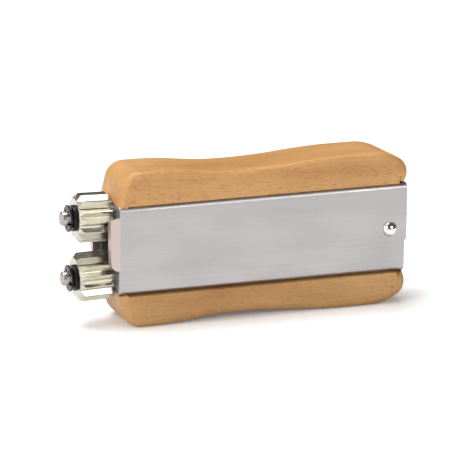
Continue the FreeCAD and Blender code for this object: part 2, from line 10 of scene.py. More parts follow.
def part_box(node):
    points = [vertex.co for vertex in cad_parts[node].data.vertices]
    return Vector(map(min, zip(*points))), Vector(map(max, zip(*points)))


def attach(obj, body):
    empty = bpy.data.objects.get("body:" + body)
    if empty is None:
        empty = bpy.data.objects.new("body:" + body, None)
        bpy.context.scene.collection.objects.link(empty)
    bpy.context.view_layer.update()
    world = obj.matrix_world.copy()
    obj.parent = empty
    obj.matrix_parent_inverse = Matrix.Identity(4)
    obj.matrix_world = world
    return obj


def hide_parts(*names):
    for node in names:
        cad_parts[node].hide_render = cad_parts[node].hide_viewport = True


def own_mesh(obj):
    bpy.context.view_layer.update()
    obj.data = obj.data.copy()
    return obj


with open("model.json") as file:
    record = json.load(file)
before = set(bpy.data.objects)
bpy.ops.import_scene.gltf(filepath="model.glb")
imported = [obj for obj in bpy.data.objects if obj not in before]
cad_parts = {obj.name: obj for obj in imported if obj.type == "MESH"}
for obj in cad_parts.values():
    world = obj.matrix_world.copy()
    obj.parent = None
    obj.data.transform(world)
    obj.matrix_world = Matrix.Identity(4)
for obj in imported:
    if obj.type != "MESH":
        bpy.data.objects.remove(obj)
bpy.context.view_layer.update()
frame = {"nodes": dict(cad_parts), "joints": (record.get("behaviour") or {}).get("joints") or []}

bl_info = {
    "name": "Frame Wire Crimper",
    "version": (1, 0, 0),
    "blender": (4, 5, 0),
    "location": "View3D > Sidebar > Crimper",
    "description": "Beech, steel and toothed wheels of a hand crimper for hive frame wire",
    "category": "Object",
}

MM = 0.001
JOINTS = {joint["name"]: joint for joint in frame["joints"]}
HALVES = ("lower", "upper")


# ---- sizes and colours that a user would change ----------------------------------------------------

def length(name, description, millimetres):
    return bpy.props.FloatProperty(name=name, description=description, default=millimetres * MM,
                                   precision=5, subtype="DISTANCE", unit="LENGTH")


def angle(name, description, degrees):
    return bpy.props.FloatProperty(name=name, description=description,
                                   default=math.radians(degrees), subtype="ANGLE", unit="ROTATION")


def number(name, description, value):
    return bpy.props.IntProperty(name=name, description=description, default=value)


def colour(name, description, value):
    return bpy.props.FloatVectorProperty(name=name, description=description, default=value,
                                         subtype="COLOR", size=3, min=0, max=1)


class CrimperHandles(bpy.types.PropertyGroup):
    web_drop: length("Web", "Hinge axis to the wood", 19.9)
    front: length("Front", "Hinge axis to the front of a handle", 122.0)
    rear: length("Rear", "Hinge axis to the rear of a handle", 8.9)
    width: length("Width", "Width of a handle", 29.5)
    hump: length("Hump", "Height at the two humps", 14.1)
    waist: length("Waist", "Height at the waist", 11.5)
    waist_at: length("Waist place", "Front to the waist", 53.0)
    nose_reach: length("Nose", "Front to the front hump", 9.8)
    nose_radius: length("Nose radius", "Rounding of the nose", 8.2)
    front_land: length("Front land", "Flat on the front hump", 4.2)
    rear_land: length("Rear land", "Flat on the rear hump", 8.0)
    tail_reach: length("Tail", "Rear hump to the rear end", 15.9)
    tail_radius: length("Tail radius", "Rounding of the rear end", 7.0)
    tail_height: length("Tail height", "Web to the centre of that rounding", 4.5)
    tail_tuck: angle("Tail tuck", "How far that rounding turns under", 20.0)
    rounding: length("Rounding", "Radius along the outer edges", 3.6)
    rest_angle: angle("Open angle", "Angle between the webs when open", 0.57)


class CrimperWheels(bpy.types.PropertyGroup):
    teeth: number("Teeth", "Number of teeth", 14)
    width: length("Width", "Length of a toothed wheel", 14.0)
    tip: length("Tip radius", "Radius over the teeth", 10.4)
    root: length("Root radius", "Radius in the tooth spaces", 8.4)
    land: length("Land", "Width of the flat on a tooth and in a space", 0.5)
    bore: length("Bore", "Radius of the bore", 3.05)
    axle: length("Axle", "Radius of the stub axle", 3.0)
    axle_tip: length("Axle tip", "Middle of the wheel to the front end of the axle", 12.9)
    axle_tail: length("Axle tail", "Middle of the wheel to the rear end of the axle", 22.6)
    groove: length("Groove", "Radius in the groove of the clip", 2.5)
    washer: length("Washer", "Radius of the washer against the wheel", 5.5)
    neck: length("Front washer", "Radius of the washer against the clip", 3.9)
    washer_thickness: length("Washer thickness", "Thickness of each washer", 1.0)
    clip: length("Clip", "Radius of the E-clip", 5.65)
    clip_thickness: length("Clip thickness", "Thickness of the E-clip", 0.7)
    gap: length("Gap", "Gap between the wheel, the washers and the clip", 0.1)
    mouth: length("Mouth", "Half the width of the mouth of the clip", 2.2)


class CrimperHinge(bpy.types.PropertyGroup):
    head: length("Head", "Radius of the domed heads of the pin", 3.3)
    shank: length("Shank", "Radius of the pin", 2.25)
    coil: length("Coil", "Mean radius of the spring", 6.0)
    wire: length("Wire", "Radius of the spring wire", 0.78)
    turns: number("Turns", "Turns of the spring", 6)


class CrimperFinish(bpy.types.PropertyGroup):
    beech_light: colour("Light wood", "Pale parts of the beech", (0.58, 0.33, 0.125))
    beech_dark: colour("Dark wood", "Dark parts of the beech", (0.43, 0.205, 0.06))
    fleck: colour("Flecks", "Short dark flecks of the beech", (0.22, 0.09, 0.03))
    sheet: colour("Sheet", "Colour of the folded sheet", (0.45, 0.435, 0.44))
    # Painted reflection: the paler, pinkish colour that the sheet takes on its front tabs.
    tab_reflection: colour("Tabs", "Reflection_painted_on front tabs of the sheet", (0.56, 0.48, 0.45))
    tab_reach: length("Tab reach", "Front of the tabs to the front of the web", 4.13)
    wheel: colour("Wheels", "Colour of the toothed wheels", (0.56, 0.54, 0.46))
    black: colour("Blackened", "Clips and washers", (0.025, 0.024, 0.026))


class CrimperStage(bpy.types.PropertyGroup):
    azimuth: angle("Azimuth", "Turn of the camera towards the wheels", 20.9)
    elevation: angle("Elevation", "Camera above the level", 14.476)
    roll: angle("Roll", "Roll of the camera", 0.651)
    distance: length("Distance", "Camera to the tool", 900.0)
    aim: length("Aim", "Height that the camera looks at", 33.07)
    aside: length("Aside", "How far it looks towards the hinge", 1.3)
    lens: bpy.props.FloatProperty(name="Lens", description="Focal length in millimetres",
                                  default=161.1)


def sizes(name):
    """The property group of that name."""
    return getattr(bpy.context.scene, "crimper_" + name)


# ---- places ----------------------------------------------------------------------------------------

def half_frame(half):
    """Place of a half: origin on the hinge, the wood on the -Z side, the wheels on the -X side."""
    hinge = Matrix.Translation(JOINTS["handle_hinge"]["pos_m"])
    if half == "lower":
        return hinge
    dip = Matrix.Rotation(-sizes("handles").rest_angle, 4, "Y")
    return hinge @ dip @ Matrix.Rotation(math.pi, 4, "X")


def wheel_frame(half):
    """Place of a wheel: origin in its middle, X along its axle to the rear."""
    joint = JOINTS[half + "_wheel_spin"]
    along = Vector(joint["axis"]).normalized()
    across = Vector((0, 1, 0))
    columns = Matrix((along, across, along.cross(across))).transposed()
    return Matrix.Translation(joint["pos_m"]) @ columns.to_4x4()


def placed(points, place):
    """An array of points, taken from a frame to the world."""
    points = np.asarray(points, float).reshape(-1, 3)
    place = np.array(place)
    return points @ place[:3, :3].T + place[:3, 3]


# ---- meshes ----------------------------------------------------------------------------------------

def grid_faces(rows, columns, round_rows=False, round_columns=False):
    """Quads of a grid of points stored row by row; either way may close on itself."""
    row = np.arange(rows if round_rows else rows - 1)
    column = np.arange(columns if round_columns else columns - 1)
    row, column = (part.ravel() for part in np.meshgrid(row, column, indexing="ij"))
    below, beside = (row + 1) % rows, (column + 1) % columns
    return np.stack([row * columns + column, below * columns + column,
                     below * columns + beside, row * columns + beside], 1)


def piece(name, points, faces, body, look, slot, nodes, sharp=35.0, bevel=None):
    """Make the object, turn its faces outwards, and let it ride and stand for its nodes."""
    mesh = bpy.data.meshes.new(name)
    mesh.from_pydata(np.asarray(points).tolist(), [], [list(map(int, face)) for face in faces])
    tidy = bmesh.new()
    tidy.from_mesh(mesh)
    bmesh.ops.remove_doubles(tidy, verts=tidy.verts, dist=1e-7)
    bmesh.ops.dissolve_degenerate(tidy, edges=tidy.edges, dist=1e-8)
    bmesh.ops.recalc_face_normals(tidy, faces=tidy.faces)
    tidy.to_mesh(mesh)
    tidy.free()
    return finish(name, mesh, body, look, slot, nodes, sharp, bevel)


def finish(name, mesh, body, look, slot, nodes, sharp=35.0, bevel=None):
    """Shade a mesh smooth up to an angle, round its edges and hang it on its body."""
    mesh.materials.clear()
    mesh.materials.append(look)
    mesh.shade_smooth()
    mesh.set_sharp_from_angle(angle=math.radians(sharp))
    item = bpy.data.objects.new(name, mesh)
    bpy.context.scene.collection.objects.link(item)
    if bevel:
        rounding = item.modifiers.new("rounded edges", "BEVEL")
        rounding.width = bevel
        rounding.segments = 2
        rounding.limit_method = "ANGLE"
        rounding.angle_limit = math.radians(30)
        rounding.harden_normals = True
    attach(item, body)
    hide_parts(*nodes)
    return item


def turned(profile, steps=96):
    """Solid of revolution about X: each (x, radius) of the profile goes round a full circle."""
    profile = np.asarray(profile, float)
    around = np.linspace(0, 2 * np.pi, steps, endpoint=False)
    x = np.repeat(profile[:, :1], steps, 1)
    radius = profile[:, 1:2]
    points = np.stack([x, radius * np.cos(around), radius * np.sin(around)], -1)
    return points.reshape(-1, 3), grid_faces(len(profile), steps, round_columns=True)


def joined(*shapes):
    """Several (points, faces) pairs as one."""
    points, faces, count = [], [], 0
    for these, quads in shapes:
        points.append(np.asarray(these))
        faces.extend((np.asarray(quad) + count).tolist() for quad in quads)
        count += len(these)
    return np.concatenate(points), faces


# ---- shader nodes ----------------------------------------------------------------------------------

class Look:
    """One material, with short ways to add and link nodes on Object coordinates."""

    def __init__(self, name):
        self.material = bpy.data.materials.new(name)
        self.material.use_nodes = True
        self.tree = self.material.node_tree
        self.surface = self.tree.nodes["Principled BSDF"]
        self.place = self.add("TexCoord").outputs["Object"]

    def add(self, kind, inputs=None, **settings):
        node = self.tree.nodes.new("ShaderNode" + kind)
        for key, setting in settings.items():
            setattr(node, key, setting)
        for key, setting in (inputs or {}).items():
            self.feed(node.inputs[key], setting)
        return node

    def feed(self, socket, setting):
        if isinstance(setting, bpy.types.NodeSocket):
            self.tree.links.new(setting, socket)
        else:
            socket.default_value = setting

    def scaled(self, x, y, z, shift=0.0):
        """Object coordinates stretched so that a pattern has its real size along each axis."""
        return self.add("Mapping", {"Vector": self.place, "Scale": (x, y, z),
                                    "Location": (shift, shift * 1.7, shift * 0.6)}).outputs["Vector"]

    def noise(self, vector, detail=3.0, roughness=0.5, distortion=0.0):
        return self.add("TexNoise", {"Vector": vector, "Scale": 1.0, "Detail": detail,
                                     "Roughness": roughness, "Distortion": distortion}).outputs["Fac"]

    def ramp(self, factor, low, high, to_low=0.0, to_high=1.0):
        return self.add("MapRange", {"Value": factor, "From Min": low, "From Max": high,
                                     "To Min": to_low, "To Max": to_high}).outputs["Result"]

    def mix(self, factor, first, second):
        node = self.add("Mix", data_type="RGBA")
        for socket, setting in zip((node.inputs[0], node.inputs[6], node.inputs[7]),
                                   (factor, first, second)):
            self.feed(socket, setting)
        return node.outputs[2]

    def sum(self, operation, first, second=0.0):
        node = self.add("Math", operation=operation)
        self.feed(node.inputs[0], first)
        self.feed(node.inputs[1], second)
        return node.outputs[0]

    def paint(self, colour=None, roughness=None, height=None, strength=0.2, depth=0.0001):
        """Link what varies over the surface to the shader."""
        if colour is not None:
            self.tree.links.new(colour, self.surface.inputs["Base Color"])
        if roughness is not None:
            self.tree.links.new(roughness, self.surface.inputs["Roughness"])
        if height is not None:
            bump = self.add("Bump", {"Height": height, "Strength": strength, "Distance": depth})
            self.tree.links.new(bump.outputs["Normal"], self.surface.inputs["Normal"])


def rgba(value, gain=1.0):
    return (*[part * gain for part in value], 1.0)


def beech(half):
    """Oiled beech: cloudy tone along X, fine grain, and the short dark flecks of beech; the lower
    handle gets painted shade, all its colours at 0.86.
    """
    finish = sizes("finish")
    # Painted shade: the lower handle is a darker copy of the same beech, its colours scaled by 0.86.
    gain = 1.0 if half == "upper" else 0.86
    shift = 0.0 if half == "upper" else 3.7
    look = Look(half + "_beech")
    clouds = look.noise(look.scaled(16, 55, 55, shift), 3, 0.5, 0.4)
    grain = look.noise(look.scaled(45, 1100, 1100, shift), 5, 0.6)
    ripple = look.noise(look.scaled(420, 90, 90, shift), 2, 0.5)
    flecks = look.noise(look.scaled(330, 2600, 2300, shift), 1, 0.4)
    tone = look.mix(look.ramp(clouds, 0.32, 0.68), rgba(finish.beech_light, gain),
                    rgba(finish.beech_dark, gain))
    tone = look.mix(look.ramp(grain, 0.45, 0.72, 0.0, 0.35), tone, rgba(finish.beech_dark, gain * 0.85))
    tone = look.mix(look.ramp(ripple, 0.5, 0.75, 0.0, 0.18), tone, rgba(finish.beech_dark, gain * 0.8))
    tone = look.mix(look.ramp(flecks, 0.60, 0.74, 0.0, 0.65), tone, rgba(finish.fleck, gain))
    height = look.sum("SUBTRACT", grain, look.sum("MULTIPLY", flecks, 0.7))
    look.paint(tone, look.ramp(grain, 0.2, 0.8, 0.40, 0.56), height, 0.3, 0.00012)
    return look.material


def sheet_steel():
    """Cold-rolled sheet: satin, with streaks along X, clouds and stains; the front tabs carry a painted
    reflection, a paler pinkish colour.
    """
    finish = sizes("finish")
    look = Look("satin_sheet")
    streaks = look.noise(look.scaled(10, 1400, 1400), 4, 0.55)
    clouds = look.noise(look.scaled(28, 70, 70), 3, 0.5)
    marks = look.noise(look.scaled(260, 420, 420, 1.3), 3, 0.6)
    tone = look.mix(look.ramp(clouds, 0.3, 0.7, 0.0, 0.5), rgba(finish.sheet, 1.08),
                    rgba(finish.sheet, 0.88))
    tone = look.mix(look.ramp(streaks, 0.35, 0.75, 0.0, 0.25), tone, rgba(finish.sheet, 0.78))
    tone = look.mix(look.ramp(marks, 0.68, 0.8, 0.0, 0.35), tone, rgba(finish.sheet, 0.6))
    # Painted reflection: ahead of tab_reach the sheet turns to the paler, pinkish tab colour, standing
    # in for the light that the front tabs reflect.
    split = look.add("SeparateXYZ", {"Vector": look.place}).outputs["X"]
    front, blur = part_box("upper_channel")[0].x + finish.tab_reach, 0.15 * MM
    tab_reflection = look.ramp(split, front + blur, front - blur)
    tone = look.mix(tab_reflection, tone, rgba(finish.tab_reflection))
    look.surface.inputs["Metallic"].default_value = 1.0
    look.paint(tone, look.ramp(clouds, 0.3, 0.7, 0.36, 0.46), streaks, 0.08, 0.00004)
    return look.material


def wheel_steel():
    """Milled and plated steel: bright, with fine tool marks and a yellowish cast in places."""
    finish = sizes("finish")
    look = Look("milled_wheel")
    marks = look.noise(look.scaled(90, 1800, 1800), 3, 0.6)
    cast = look.noise(look.scaled(160, 160, 160), 2, 0.5)
    tone = look.mix(look.ramp(cast, 0.3, 0.7, 0.0, 0.6), rgba(finish.wheel),
                    rgba((finish.wheel[0] * 0.8, finish.wheel[1] * 0.78, finish.wheel[2] * 0.7)))
    look.surface.inputs["Metallic"].default_value = 1.0
    look.paint(tone, look.ramp(marks, 0.3, 0.7, 0.16, 0.28), marks, 0.1, 0.00004)
    return look.material


def metal(name, tone, roughness, scale=700, spread=0.25):
    """Plain metal: small clouds in tone and polish."""
    look = Look(name)
    clouds = look.noise(look.scaled(scale, scale, scale), 3, 0.55)
    look.surface.inputs["Metallic"].default_value = 1.0
    look.paint(look.mix(look.ramp(clouds, 0.3, 0.7), rgba(tone), rgba(tone, 1 - spread)),
               look.ramp(clouds, 0.3, 0.7, roughness * 0.85, roughness * 1.2), clouds, 0.05, 0.00003)
    return look.material


def blackened():
    """Phosphated spring steel: black with a dull shine and worn specks."""
    look = Look("blackened_steel")
    finish = sizes("finish")
    specks = look.noise(look.scaled(1500, 1500, 1500), 3, 0.6)
    look.surface.inputs["Metallic"].default_value = 0.85
    look.paint(look.mix(look.ramp(specks, 0.55, 0.75), rgba(finish.black), rgba((0.16, 0.15, 0.14))),
               look.ramp(specks, 0.3, 0.7, 0.26, 0.4), specks, 0.1, 0.00004)
    return look.material


def look_of(name):
    """A finished material, made once."""
    makers = {
        "upper_beech": lambda: beech("upper"),
        "lower_beech": lambda: beech("lower"),
        "satin_sheet": sheet_steel,
        "milled_wheel": wheel_steel,
        "blackened_steel": blackened,
        "polished_pin": lambda: metal("polished_pin", (0.82, 0.80, 0.79), 0.05, 300, 0.08),
        "turned_axle": lambda: metal("turned_axle", (0.46, 0.43, 0.41), 0.33),
        "drawn_wire": lambda: metal("drawn_wire", (0.36, 0.35, 0.34), 0.3),
        "plain_steel": lambda: metal("plain_steel", (0.42, 0.40, 0.38), 0.35),
    }
    return bpy.data.materials.get(name) or makers[name]()


# ---- handles ---------------------------------------------------------------------------------------

def handle_outline(step=0.55 * MM):
    """Side outline of a handle from front foot to rear foot: points and outward normals.

    Straight lines and circular arcs that meet in a common tangent: leaning front, nose, front hump,
    an S of two equal arcs down to the waist and one up to the rear hump, two arcs round the tail and
    the tucked-in foot. Along is counted from the front, height from the wood's flat face.
    """
    size = sizes("handles")
    hump, waist, nose, tail = size.hump, size.waist, size.nose_radius, size.tail_radius
    rear = size.front + size.rear
    front_hump, front_land = size.nose_reach, size.nose_reach + size.front_land
    rear_hump = rear - size.tail_reach
    rear_land = rear_hump - size.rear_land
    points, normals = [], []

    def line(start, end):
        start, end = np.array(start), np.array(end)
        run = end - start
        reach = np.hypot(*run)
        share = np.linspace(0, 1, max(int(reach / step), 2))[:, None]
        points.append(start + share * run)
        normals.append(np.repeat([[-run[1] / reach, run[0] / reach]], len(share), 0))

    def arc(centre, radius, first, last):
        turn = np.linspace(first, last, max(int(radius * abs(last - first) / step), 14))
        way = np.stack([np.cos(turn), np.sin(turn)], 1)
        points.append(np.array(centre) + radius * way)
        normals.append(way if last < first else -way)

    def slope(start, end):
        run, fall = end[0] - start[0], abs(start[1] - end[1])
        radius = (run ** 2 + fall ** 2) / (4 * fall)
        sweep, up = math.asin(run / 2 / radius), math.pi / 2
        if start[1] > end[1]:
            arc((start[0], start[1] - radius), radius, up, up - sweep)
            arc((end[0], end[1] + radius), radius, -up - sweep, -up)
        else:
            arc((start[0], start[1] + radius), radius, -up, sweep - up)
            arc((end[0], end[1] - radius), radius, up + sweep, up)

    centre = (front_hump, hump - nose)
    reach = math.hypot(*centre)
    lean = math.atan2(centre[1], centre[0]) + math.asin(nose / reach)
    flank = math.sqrt(reach ** 2 - nose ** 2)
    inner = (rear - tail, size.tail_height)
    ahead, below = inner[0] - rear_hump, hump - inner[1]
    crown = (ahead ** 2 + below ** 2 - tail ** 2) / (2 * (below - tail))
    meet = math.atan2(inner[1] - hump + crown, ahead)
    tuck = size.tail_tuck
    end = (inner[0] + tail * math.cos(tuck), inner[1] - tail * math.sin(tuck))

    line((0, 0), (flank * math.cos(lean), flank * math.sin(lean)))
    arc(centre, nose, lean + math.pi / 2, math.pi / 2)
    line((front_hump, hump), (front_land, hump))
    slope((front_land, hump), (size.waist_at, waist))
    slope((size.waist_at, waist), (rear_land, hump))
    line((rear_land, hump), (rear_hump, hump))
    arc((rear_hump, hump - crown), crown, math.pi / 2, meet)
    arc(inner, tail, meet, -tuck)
    line(end, (end[0] - end[1] * math.tan(tuck), 0))
    points, normals = np.concatenate(points), np.concatenate(normals)
    fresh = np.r_[True, np.hypot(*np.diff(points, axis=0).T) > 1e-7]
    return points[fresh], normals[fresh]


def handle_surface():
    """A handle: every point of the outline carries one rib across the wood.

    Across the middle the rib lies on the outline. Towards each side it sinks along the outline's
    normal by rounding * (1 - cos t) while it moves out by rounding * sin t, for t from 0 to a quarter
    turn. From there it runs down the flat side to the base and back under the wood.
    """
    size = sizes("handles")
    outline, normal = handle_outline()
    radius, half = size.rounding, size.width / 2
    quarter = np.linspace(0, np.pi / 2, 9)
    flat = np.linspace(-1, 1, 13)[1:-1] * (half - radius)
    across = np.r_[-(half - radius + radius * np.sin(quarter[::-1])), flat,
                   half - radius + radius * np.sin(quarter)]
    sunk = np.r_[radius * (1 - np.cos(quarter[::-1])), flat * 0, radius * (1 - np.cos(quarter))]
    rib = outline[:, None] - normal[:, None] * sunk[None, :, None]
    foot = np.clip(rib[:, 0, 0], rib[0, 0, 0], rib[-1, 0, 0])
    down = np.linspace(0, 1, 6)[1:, None]
    edge = rib[:, 0]
    base = np.stack([foot, np.zeros(len(rib))], -1)
    side = edge[:, None] + (base - edge)[:, None] * down[None]
    under = np.linspace(1, -1, 9)[1:-1]
    ribs = np.concatenate([side[:, ::-1], rib, side, np.repeat(base[:, None], len(under), 1)], 1)
    spread = np.r_[-half * np.ones(len(down)), across, half * np.ones(len(down)), under * half]
    points = np.stack([ribs[..., 0] - size.front,
                       np.broadcast_to(spread, ribs.shape[:2]),
                       -size.web_drop - ribs[..., 1]], -1)
    rows, columns = points.shape[:2]
    faces = grid_faces(rows, columns, round_columns=True).tolist()
    faces += [list(range(columns)), list(range((rows - 1) * columns, rows * columns))]
    return points.reshape(-1, 3), faces


class CRIMPER_OT_handles(bpy.types.Operator):
    """Shape both beech handles"""
    bl_idname = "crimper.handles"
    bl_label = "Shape the Handles"

    def execute(self, context):
        points, faces = handle_surface()
        for half in HALVES:
            piece(half + "_wood", placed(points, half_frame(half)), faces, half + "_half",
                  look_of(half + "_beech"), "beech", [half + "_handle"])
        return {"FINISHED"}


# ---- channels --------------------------------------------------------------------------------------

class CRIMPER_OT_channels(bpy.types.Operator):
    """Round the cut edges of both folded channels"""
    bl_idname = "crimper.channels"
    bl_label = "Finish the Channels"

    def execute(self, context):
        for half in HALVES:
            node = frame["nodes"][half + "_channel"]
            sheet = bmesh.new()
            sheet.from_mesh(node.data)
            bmesh.ops.remove_doubles(sheet, verts=sheet.verts, dist=1e-6)
            bmesh.ops.dissolve_limit(sheet, angle_limit=math.radians(1), verts=sheet.verts,
                                     edges=sheet.edges)
            mesh = bpy.data.meshes.new(half + "_sheet")
            sheet.to_mesh(mesh)
            sheet.free()
            finish(half + "_sheet", mesh, half + "_half", look_of("satin_sheet"), "sheet_steel",
                   [half + "_channel"], bevel=0.14 * MM)
        return {"FINISHED"}


# ---- wheels and what holds them --------------------------------------------------------------------

def washer_places():
    """Front faces of the two washers, each a gap in front of what is behind it."""
    size = sizes("wheels")
    first = -(size.width / 2 + size.gap + size.washer_thickness)
    return first, first - size.gap - size.washer_thickness


def clip_place():
    """Front and rear face of the clip, in front of the washers."""
    size = sizes("wheels")
    rear = washer_places()[1] - size.gap
    return rear - size.clip_thickness, rear


def wheel_surface(phase):
    """A toothed wheel: the outline of its teeth, carried along the axle.

    Each tooth gives four corners, two at its tip and two at its root, joined by straight flanks. A
    corner has three stations along X: on the front face, where radius * cos(angle from the middle of
    the tooth) is the root radius; where its own radius meets the flat 45 degree chamfer; and at the
    rear.
    """
    size = sizes("wheels")
    pitch = 2 * math.pi / size.teeth
    tip = math.asin(size.land / 2 / size.tip)
    root = pitch / 2 - math.asin(size.land / 2 / size.root)
    offset = np.array([-root, -tip, tip, root])
    radius = np.array([size.root, size.tip, size.tip, size.root])
    centre = np.arange(size.teeth)[:, None] * pitch + phase
    around = (centre + offset).ravel()
    radius, offset = np.tile(radius, size.teeth), np.tile(offset, size.teeth)
    depth = np.maximum(radius * np.cos(offset) - size.root, 0)
    first = np.minimum(size.root / np.cos(offset), radius)
    half = size.width / 2
    stations = [
        (np.full_like(radius, half), np.full_like(radius, size.bore)),
        (np.full_like(radius, half), radius),
        (depth - half, radius),
        (np.full_like(radius, -half), first),
        (np.full_like(radius, -half), np.full_like(radius, size.bore)),
    ]
    points = np.stack([np.stack([x, reach * np.sin(around), reach * np.cos(around)], -1)
                       for x, reach in stations])
    faces = grid_faces(len(stations), len(radius), round_rows=True, round_columns=True)
    return points.reshape(-1, 3), faces


def axle_surface():
    """A stub axle: turned, with a chamfered end and the groove of the clip."""
    size = sizes("wheels")
    radius, groove, tip, tail = size.axle, size.groove, -size.axle_tip, size.axle_tail
    soft, play = 0.12 * MM, 0.05 * MM
    front, rear = clip_place()[0] - play, clip_place()[1] + play
    return turned([(tip, 0), (tip, radius - 0.75 * MM), (tip + 0.08 * MM, radius - 0.5 * MM),
                   (tip + 0.5 * MM, radius - 0.06 * MM), (tip + 0.62 * MM, radius),
                   (front - soft, radius), (front, radius - soft), (front, groove),
                   (rear, groove), (rear, radius - soft), (rear + soft, radius),
                   (tail - soft, radius), (tail, radius - soft), (tail, 0)])


def washer_surface(start, thickness, rim):
    """A flat washer with broken edges, from a place along X."""
    hole, soft, end = sizes("wheels").axle + 0.1 * MM, 0.14 * MM, start + thickness
    outline = [(start, hole), (start, rim - soft), (start + soft * 0.3, rim - soft * 0.3),
               (start + soft, rim), (end - soft, rim), (end - soft * 0.3, rim - soft * 0.3),
               (end, rim - soft), (end, hole), (start, hole)]
    return turned(outline)


def clip_surface():
    """An E-clip: a ring between an outer and an inner curve, open at the mouth.

    The outer curve is a circle. The inner one follows the groove at three prongs and steps back
    between them: groove + recess * w, where w is 0 on a prong and 1 between two, with soft steps.
    Both end on the straight sides of the mouth.
    """
    size = sizes("wheels")
    share = np.linspace(-1, 1, 121)
    outer = share * (math.pi - math.asin(size.mouth / size.clip))
    inner = share * math.radians(122)
    middle_prong, side_prong, blend = math.radians(24), math.radians(94), 0.16
    recess, clearance, soft = 1.35 * MM, 0.03 * MM, 0.1 * MM

    def step(value):
        value = np.clip(value, 0, 1)
        return value * value * (3 - 2 * value)

    away = np.abs(inner)
    window = step((away - middle_prong) / blend) * step((side_prong - away) / blend)
    inside = size.groove + clearance + recess * window
    front, rear = clip_place()

    def ring(x, reach, turn):
        return np.stack([np.full_like(turn, x), reach * np.cos(turn), reach * np.sin(turn)], -1)

    loops = np.stack([
        ring(front, inside + soft, inner), ring(front, size.clip - soft, outer),
        ring(front + soft, size.clip, outer), ring(rear - soft, size.clip, outer),
        ring(rear, size.clip - soft, outer), ring(rear, inside + soft, inner),
        ring(rear - soft, inside, inner), ring(front + soft, inside, inner)])
    rows, columns = loops.shape[:2]
    faces = grid_faces(rows, columns, round_rows=True).tolist()
    faces += [[row * columns for row in range(rows)],
              [row * columns + columns - 1 for row in range(rows)]]
    return loops.reshape(-1, 3), faces


class CRIMPER_OT_wheels(bpy.types.Operator):
    """Make the toothed wheels with their axles, washers and clips"""
    bl_idname = "crimper.wheels"
    bl_label = "Make the Wheels"

    def execute(self, context):
        size = sizes("wheels")
        for half in HALVES:
            place = wheel_frame(half)
            body = half + "_half"
            phase = 0.0 if half == "lower" else math.pi + math.pi / size.teeth
            points, faces = wheel_surface(phase)
            piece(half + "_wheel_teeth", placed(points, place), faces, half + "_wheel",
                  look_of("milled_wheel"), "wheel_steel", [half + "_crimping_wheel"], bevel=0.11 * MM)
            points, faces = axle_surface()
            piece(half + "_stub", placed(points, place), faces, body, look_of("turned_axle"),
                  "plain_steel", [half + "_axle"])
            against_wheel, against_clip = washer_places()
            points, faces = joined(
                washer_surface(against_wheel, size.washer_thickness, size.washer),
                washer_surface(against_clip, size.washer_thickness, size.neck))
            piece(half + "_washer_pair", placed(points, place), faces, body, look_of("blackened_steel"),
                  "black_steel", [half + "_washers"])
            points, faces = clip_surface()
            piece(half + "_clip", placed(points, place), faces, body, look_of("blackened_steel"),
                  "black_steel", [half + "_e_clip"])
        return {"FINISHED"}


# ---- hinge and spring ------------------------------------------------------------------------------

def pin_surface():
    """The hinge pin: a shank with a dome at each end, drawn along X and laid across the tool."""
    size = sizes("hinge")
    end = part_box("hinge_pin")[1].y
    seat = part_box("upper_channel")[1].y + 0.03 * MM
    rise = end - seat - 0.25 * MM
    ball = (size.head ** 2 + rise ** 2) / (2 * rise)
    slant = np.linspace(0, math.asin(size.head / ball), 14)
    dome = np.stack([end - ball * (1 - np.cos(slant)), ball * np.sin(slant)], 1)
    half = np.concatenate([dome, [(seat, size.head), (seat, size.shank), (0, size.shank)]])
    other = half[::-1] * (-1, 1)
    points, faces = turned(np.concatenate([half, other[1:]]))
    return points[:, [1, 0, 2]], faces


def spring_surface(low, high):
    """A coil: a round wire carried along a helix whose climb is gentle at both closed ends.

    The height rises by half of a closed end's height over the first turn and again over the last
    one. The rest of it rises evenly, from 0.7 of a turn after the start to 0.7 before the end.
    """
    size = sizes("hinge")
    turns = size.turns + 2
    steps = turns * 40
    share = np.linspace(0, 1, steps + 1)
    turn = share * turns * 2 * np.pi
    closed = 1.0 / turns
    climb = np.clip((share - closed * 0.7) / (1 - closed * 1.4), 0, 1)
    flat = 2.1 * size.wire
    height = low + size.wire + flat * np.clip(share / closed, 0, 1) * 0.5
    height = height + (high - low - 2 * size.wire - flat) * climb
    height = height + flat * np.clip((share - 1 + closed) / closed, 0, 1) * 0.5
    centre = np.stack([size.coil * np.cos(turn), size.coil * np.sin(turn), height], -1)
    tangent = np.gradient(centre, axis=0)
    tangent /= np.linalg.norm(tangent, axis=1)[:, None]
    out = np.stack([np.cos(turn), np.sin(turn), 0 * turn], -1)
    up = np.cross(out, tangent)
    around = np.linspace(0, 2 * np.pi, 12, endpoint=False)
    ring = (out[:, None] * np.cos(around)[None, :, None] + up[:, None] * np.sin(around)[None, :, None])
    points = centre[:, None] + size.wire * ring
    rows, columns = points.shape[:2]
    faces = grid_faces(rows, columns, round_columns=True).tolist()
    faces += [list(range(columns)), list(range((rows - 1) * columns, rows * columns))]
    return points.reshape(-1, 3), faces


class CRIMPER_OT_hinge(bpy.types.Operator):
    """Make the hinge pin and the return spring"""
    bl_idname = "crimper.hinge"
    bl_label = "Make the Hinge"

    def execute(self, context):
        points, faces = pin_surface()
        piece("domed_pin", placed(points, half_frame("upper")), faces, "upper_half",
              look_of("polished_pin"), "bright_steel", ["hinge_pin"])
        low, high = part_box("return_spring")
        points, faces = spring_surface(low.z, high.z)
        centre = Matrix.Translation(((low.x + high.x) / 2, 0, 0))
        coil = piece("coil_spring", placed(points, centre), faces, "lower_half",
                     look_of("drawn_wire"), "spring_steel", ["return_spring"])
        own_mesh(coil)
        return {"FINISHED"}


